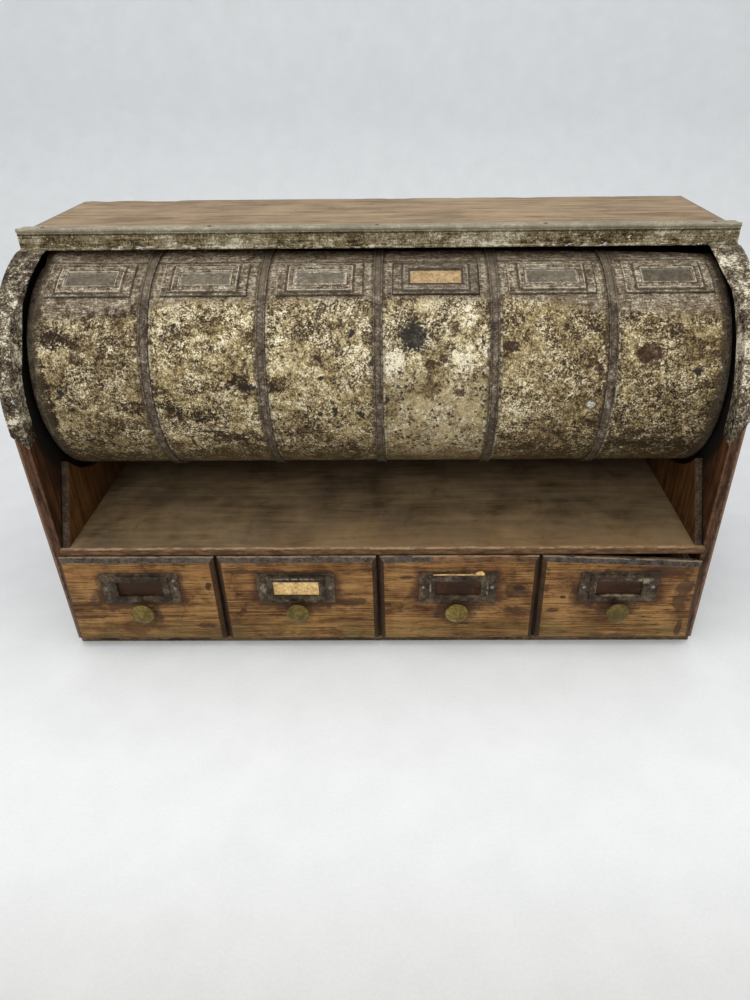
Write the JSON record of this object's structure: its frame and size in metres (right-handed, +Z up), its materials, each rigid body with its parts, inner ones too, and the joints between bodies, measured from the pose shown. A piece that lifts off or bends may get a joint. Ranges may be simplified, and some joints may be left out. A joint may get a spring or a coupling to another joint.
{
  "type": "storage bin cabinet",
  "caption": "Small table cabinet with a revolving tin drum of bins over an open shelf and a row of knobbed, labelled drawers.",
  "frame": {"origin": "on the table, under the middle of the whole cabinet with its knobs", "axes": "+X to the right along the drum, +Y from the drawer fronts to the back, +Z up"},
  "size_m": [0.4076, 0.1756, 0.2506],
  "materials": {
    "top_oak": "worn waxed oak with dust in the grain",
    "side_wood": "reddish brown varnish, worn on the edges",
    "case_wood": "dark brown varnish, dull",
    "shelf_wood": "dusty grey brown, worn pale on the front edge",
    "drawer_oak": "orange brown oak, old varnish with dark flecks",
    "drawer_wood": "plain unvarnished softwood",
    "aged_tin": "dull tinned sheet with cream specks and rust",
    "drum_tin": "mottled olive and cream patina with rust",
    "rib_tin": "dark grey brown tin, pale along the beads",
    "blank_plate": "dull grey tin",
    "dark_bronze": "dark brown bronze, rubbed bright on the edges",
    "aged_brass": "olive brown tarnish",
    "dark_steel": "dull steel with brown rust",
    "label_card": "yellowed card, soiled"
  },
  "bodies": {
    "case": {"bottom_board": "case_wood", "side_left": "side_wood", "side_right": "side_wood", "top_board": "top_oak", "back_panel": "case_wood", "shelf": "shelf_wood", "liner_left": "side_wood", "liner_right": "side_wood", "drawer_divider_1": "case_wood", "drawer_divider_2": "case_wood", "drawer_divider_3": "case_wood", "rail_trim": "aged_tin", "side_trim_left": "aged_tin", "side_trim_right": "aged_tin", "trim_tacks": "dark_steel", "pivot_pin_left": "dark_steel", "pivot_pin_right": "dark_steel"},
    "drum": {"drum_sheet": "drum_tin", "drum_end_left": "drum_tin", "drum_end_right": "drum_tin", "drum_partitions": "case_wood", "drum_ribs": "rib_tin", "drum_hub_left": "dark_steel", "drum_hub_right": "dark_steel", "drum_label_holders": "drum_tin", "drum_label_blanks": "blank_plate", "drum_label_card": "label_card"},
    "drawer_1": {"drawer_1_front": "drawer_oak", "drawer_1_sides": "drawer_wood", "drawer_1_back": "drawer_wood", "drawer_1_bottom": "drawer_wood", "drawer_1_knob": "aged_brass", "drawer_1_label_holder": "dark_bronze", "drawer_1_holder_pins": "dark_steel"},
    "drawer_2": {"drawer_2_front": "drawer_oak", "drawer_2_sides": "drawer_wood", "drawer_2_back": "drawer_wood", "drawer_2_bottom": "drawer_wood", "drawer_2_knob": "aged_brass", "drawer_2_label_holder": "dark_bronze", "drawer_2_holder_pins": "dark_steel", "drawer_2_card": "label_card"},
    "drawer_3": {"drawer_3_front": "drawer_oak", "drawer_3_sides": "drawer_wood", "drawer_3_back": "drawer_wood", "drawer_3_bottom": "drawer_wood", "drawer_3_knob": "aged_brass", "drawer_3_label_holder": "dark_bronze", "drawer_3_holder_pins": "dark_steel", "drawer_3_card": "label_card"},
    "drawer_4": {"drawer_4_front": "drawer_oak", "drawer_4_sides": "drawer_wood", "drawer_4_back": "drawer_wood", "drawer_4_bottom": "drawer_wood", "drawer_4_knob": "aged_brass", "drawer_4_label_holder": "dark_bronze", "drawer_4_holder_pins": "dark_steel"}
  },
  "joints": [
    {"name": "drum_turn", "type": "hinge", "parent": "case", "child": "drum", "pos_m": [0, 0.00275, 0.1685], "axis": [1, 0, 0], "range_deg": [0, 95]},
    {"name": "drawer_1_slide", "type": "slide", "parent": "case", "child": "drawer_1", "axis": [0, -1, 0], "range_m": [0, 0.12]},
    {"name": "drawer_2_slide", "type": "slide", "parent": "case", "child": "drawer_2", "axis": [0, -1, 0], "range_m": [0, 0.12]},
    {"name": "drawer_3_slide", "type": "slide", "parent": "case", "child": "drawer_3", "axis": [0, -1, 0], "range_m": [0, 0.12]},
    {"name": "drawer_4_slide", "type": "slide", "parent": "case", "child": "drawer_4", "axis": [0, -1, 0], "range_m": [0, 0.12]}
  ]
}
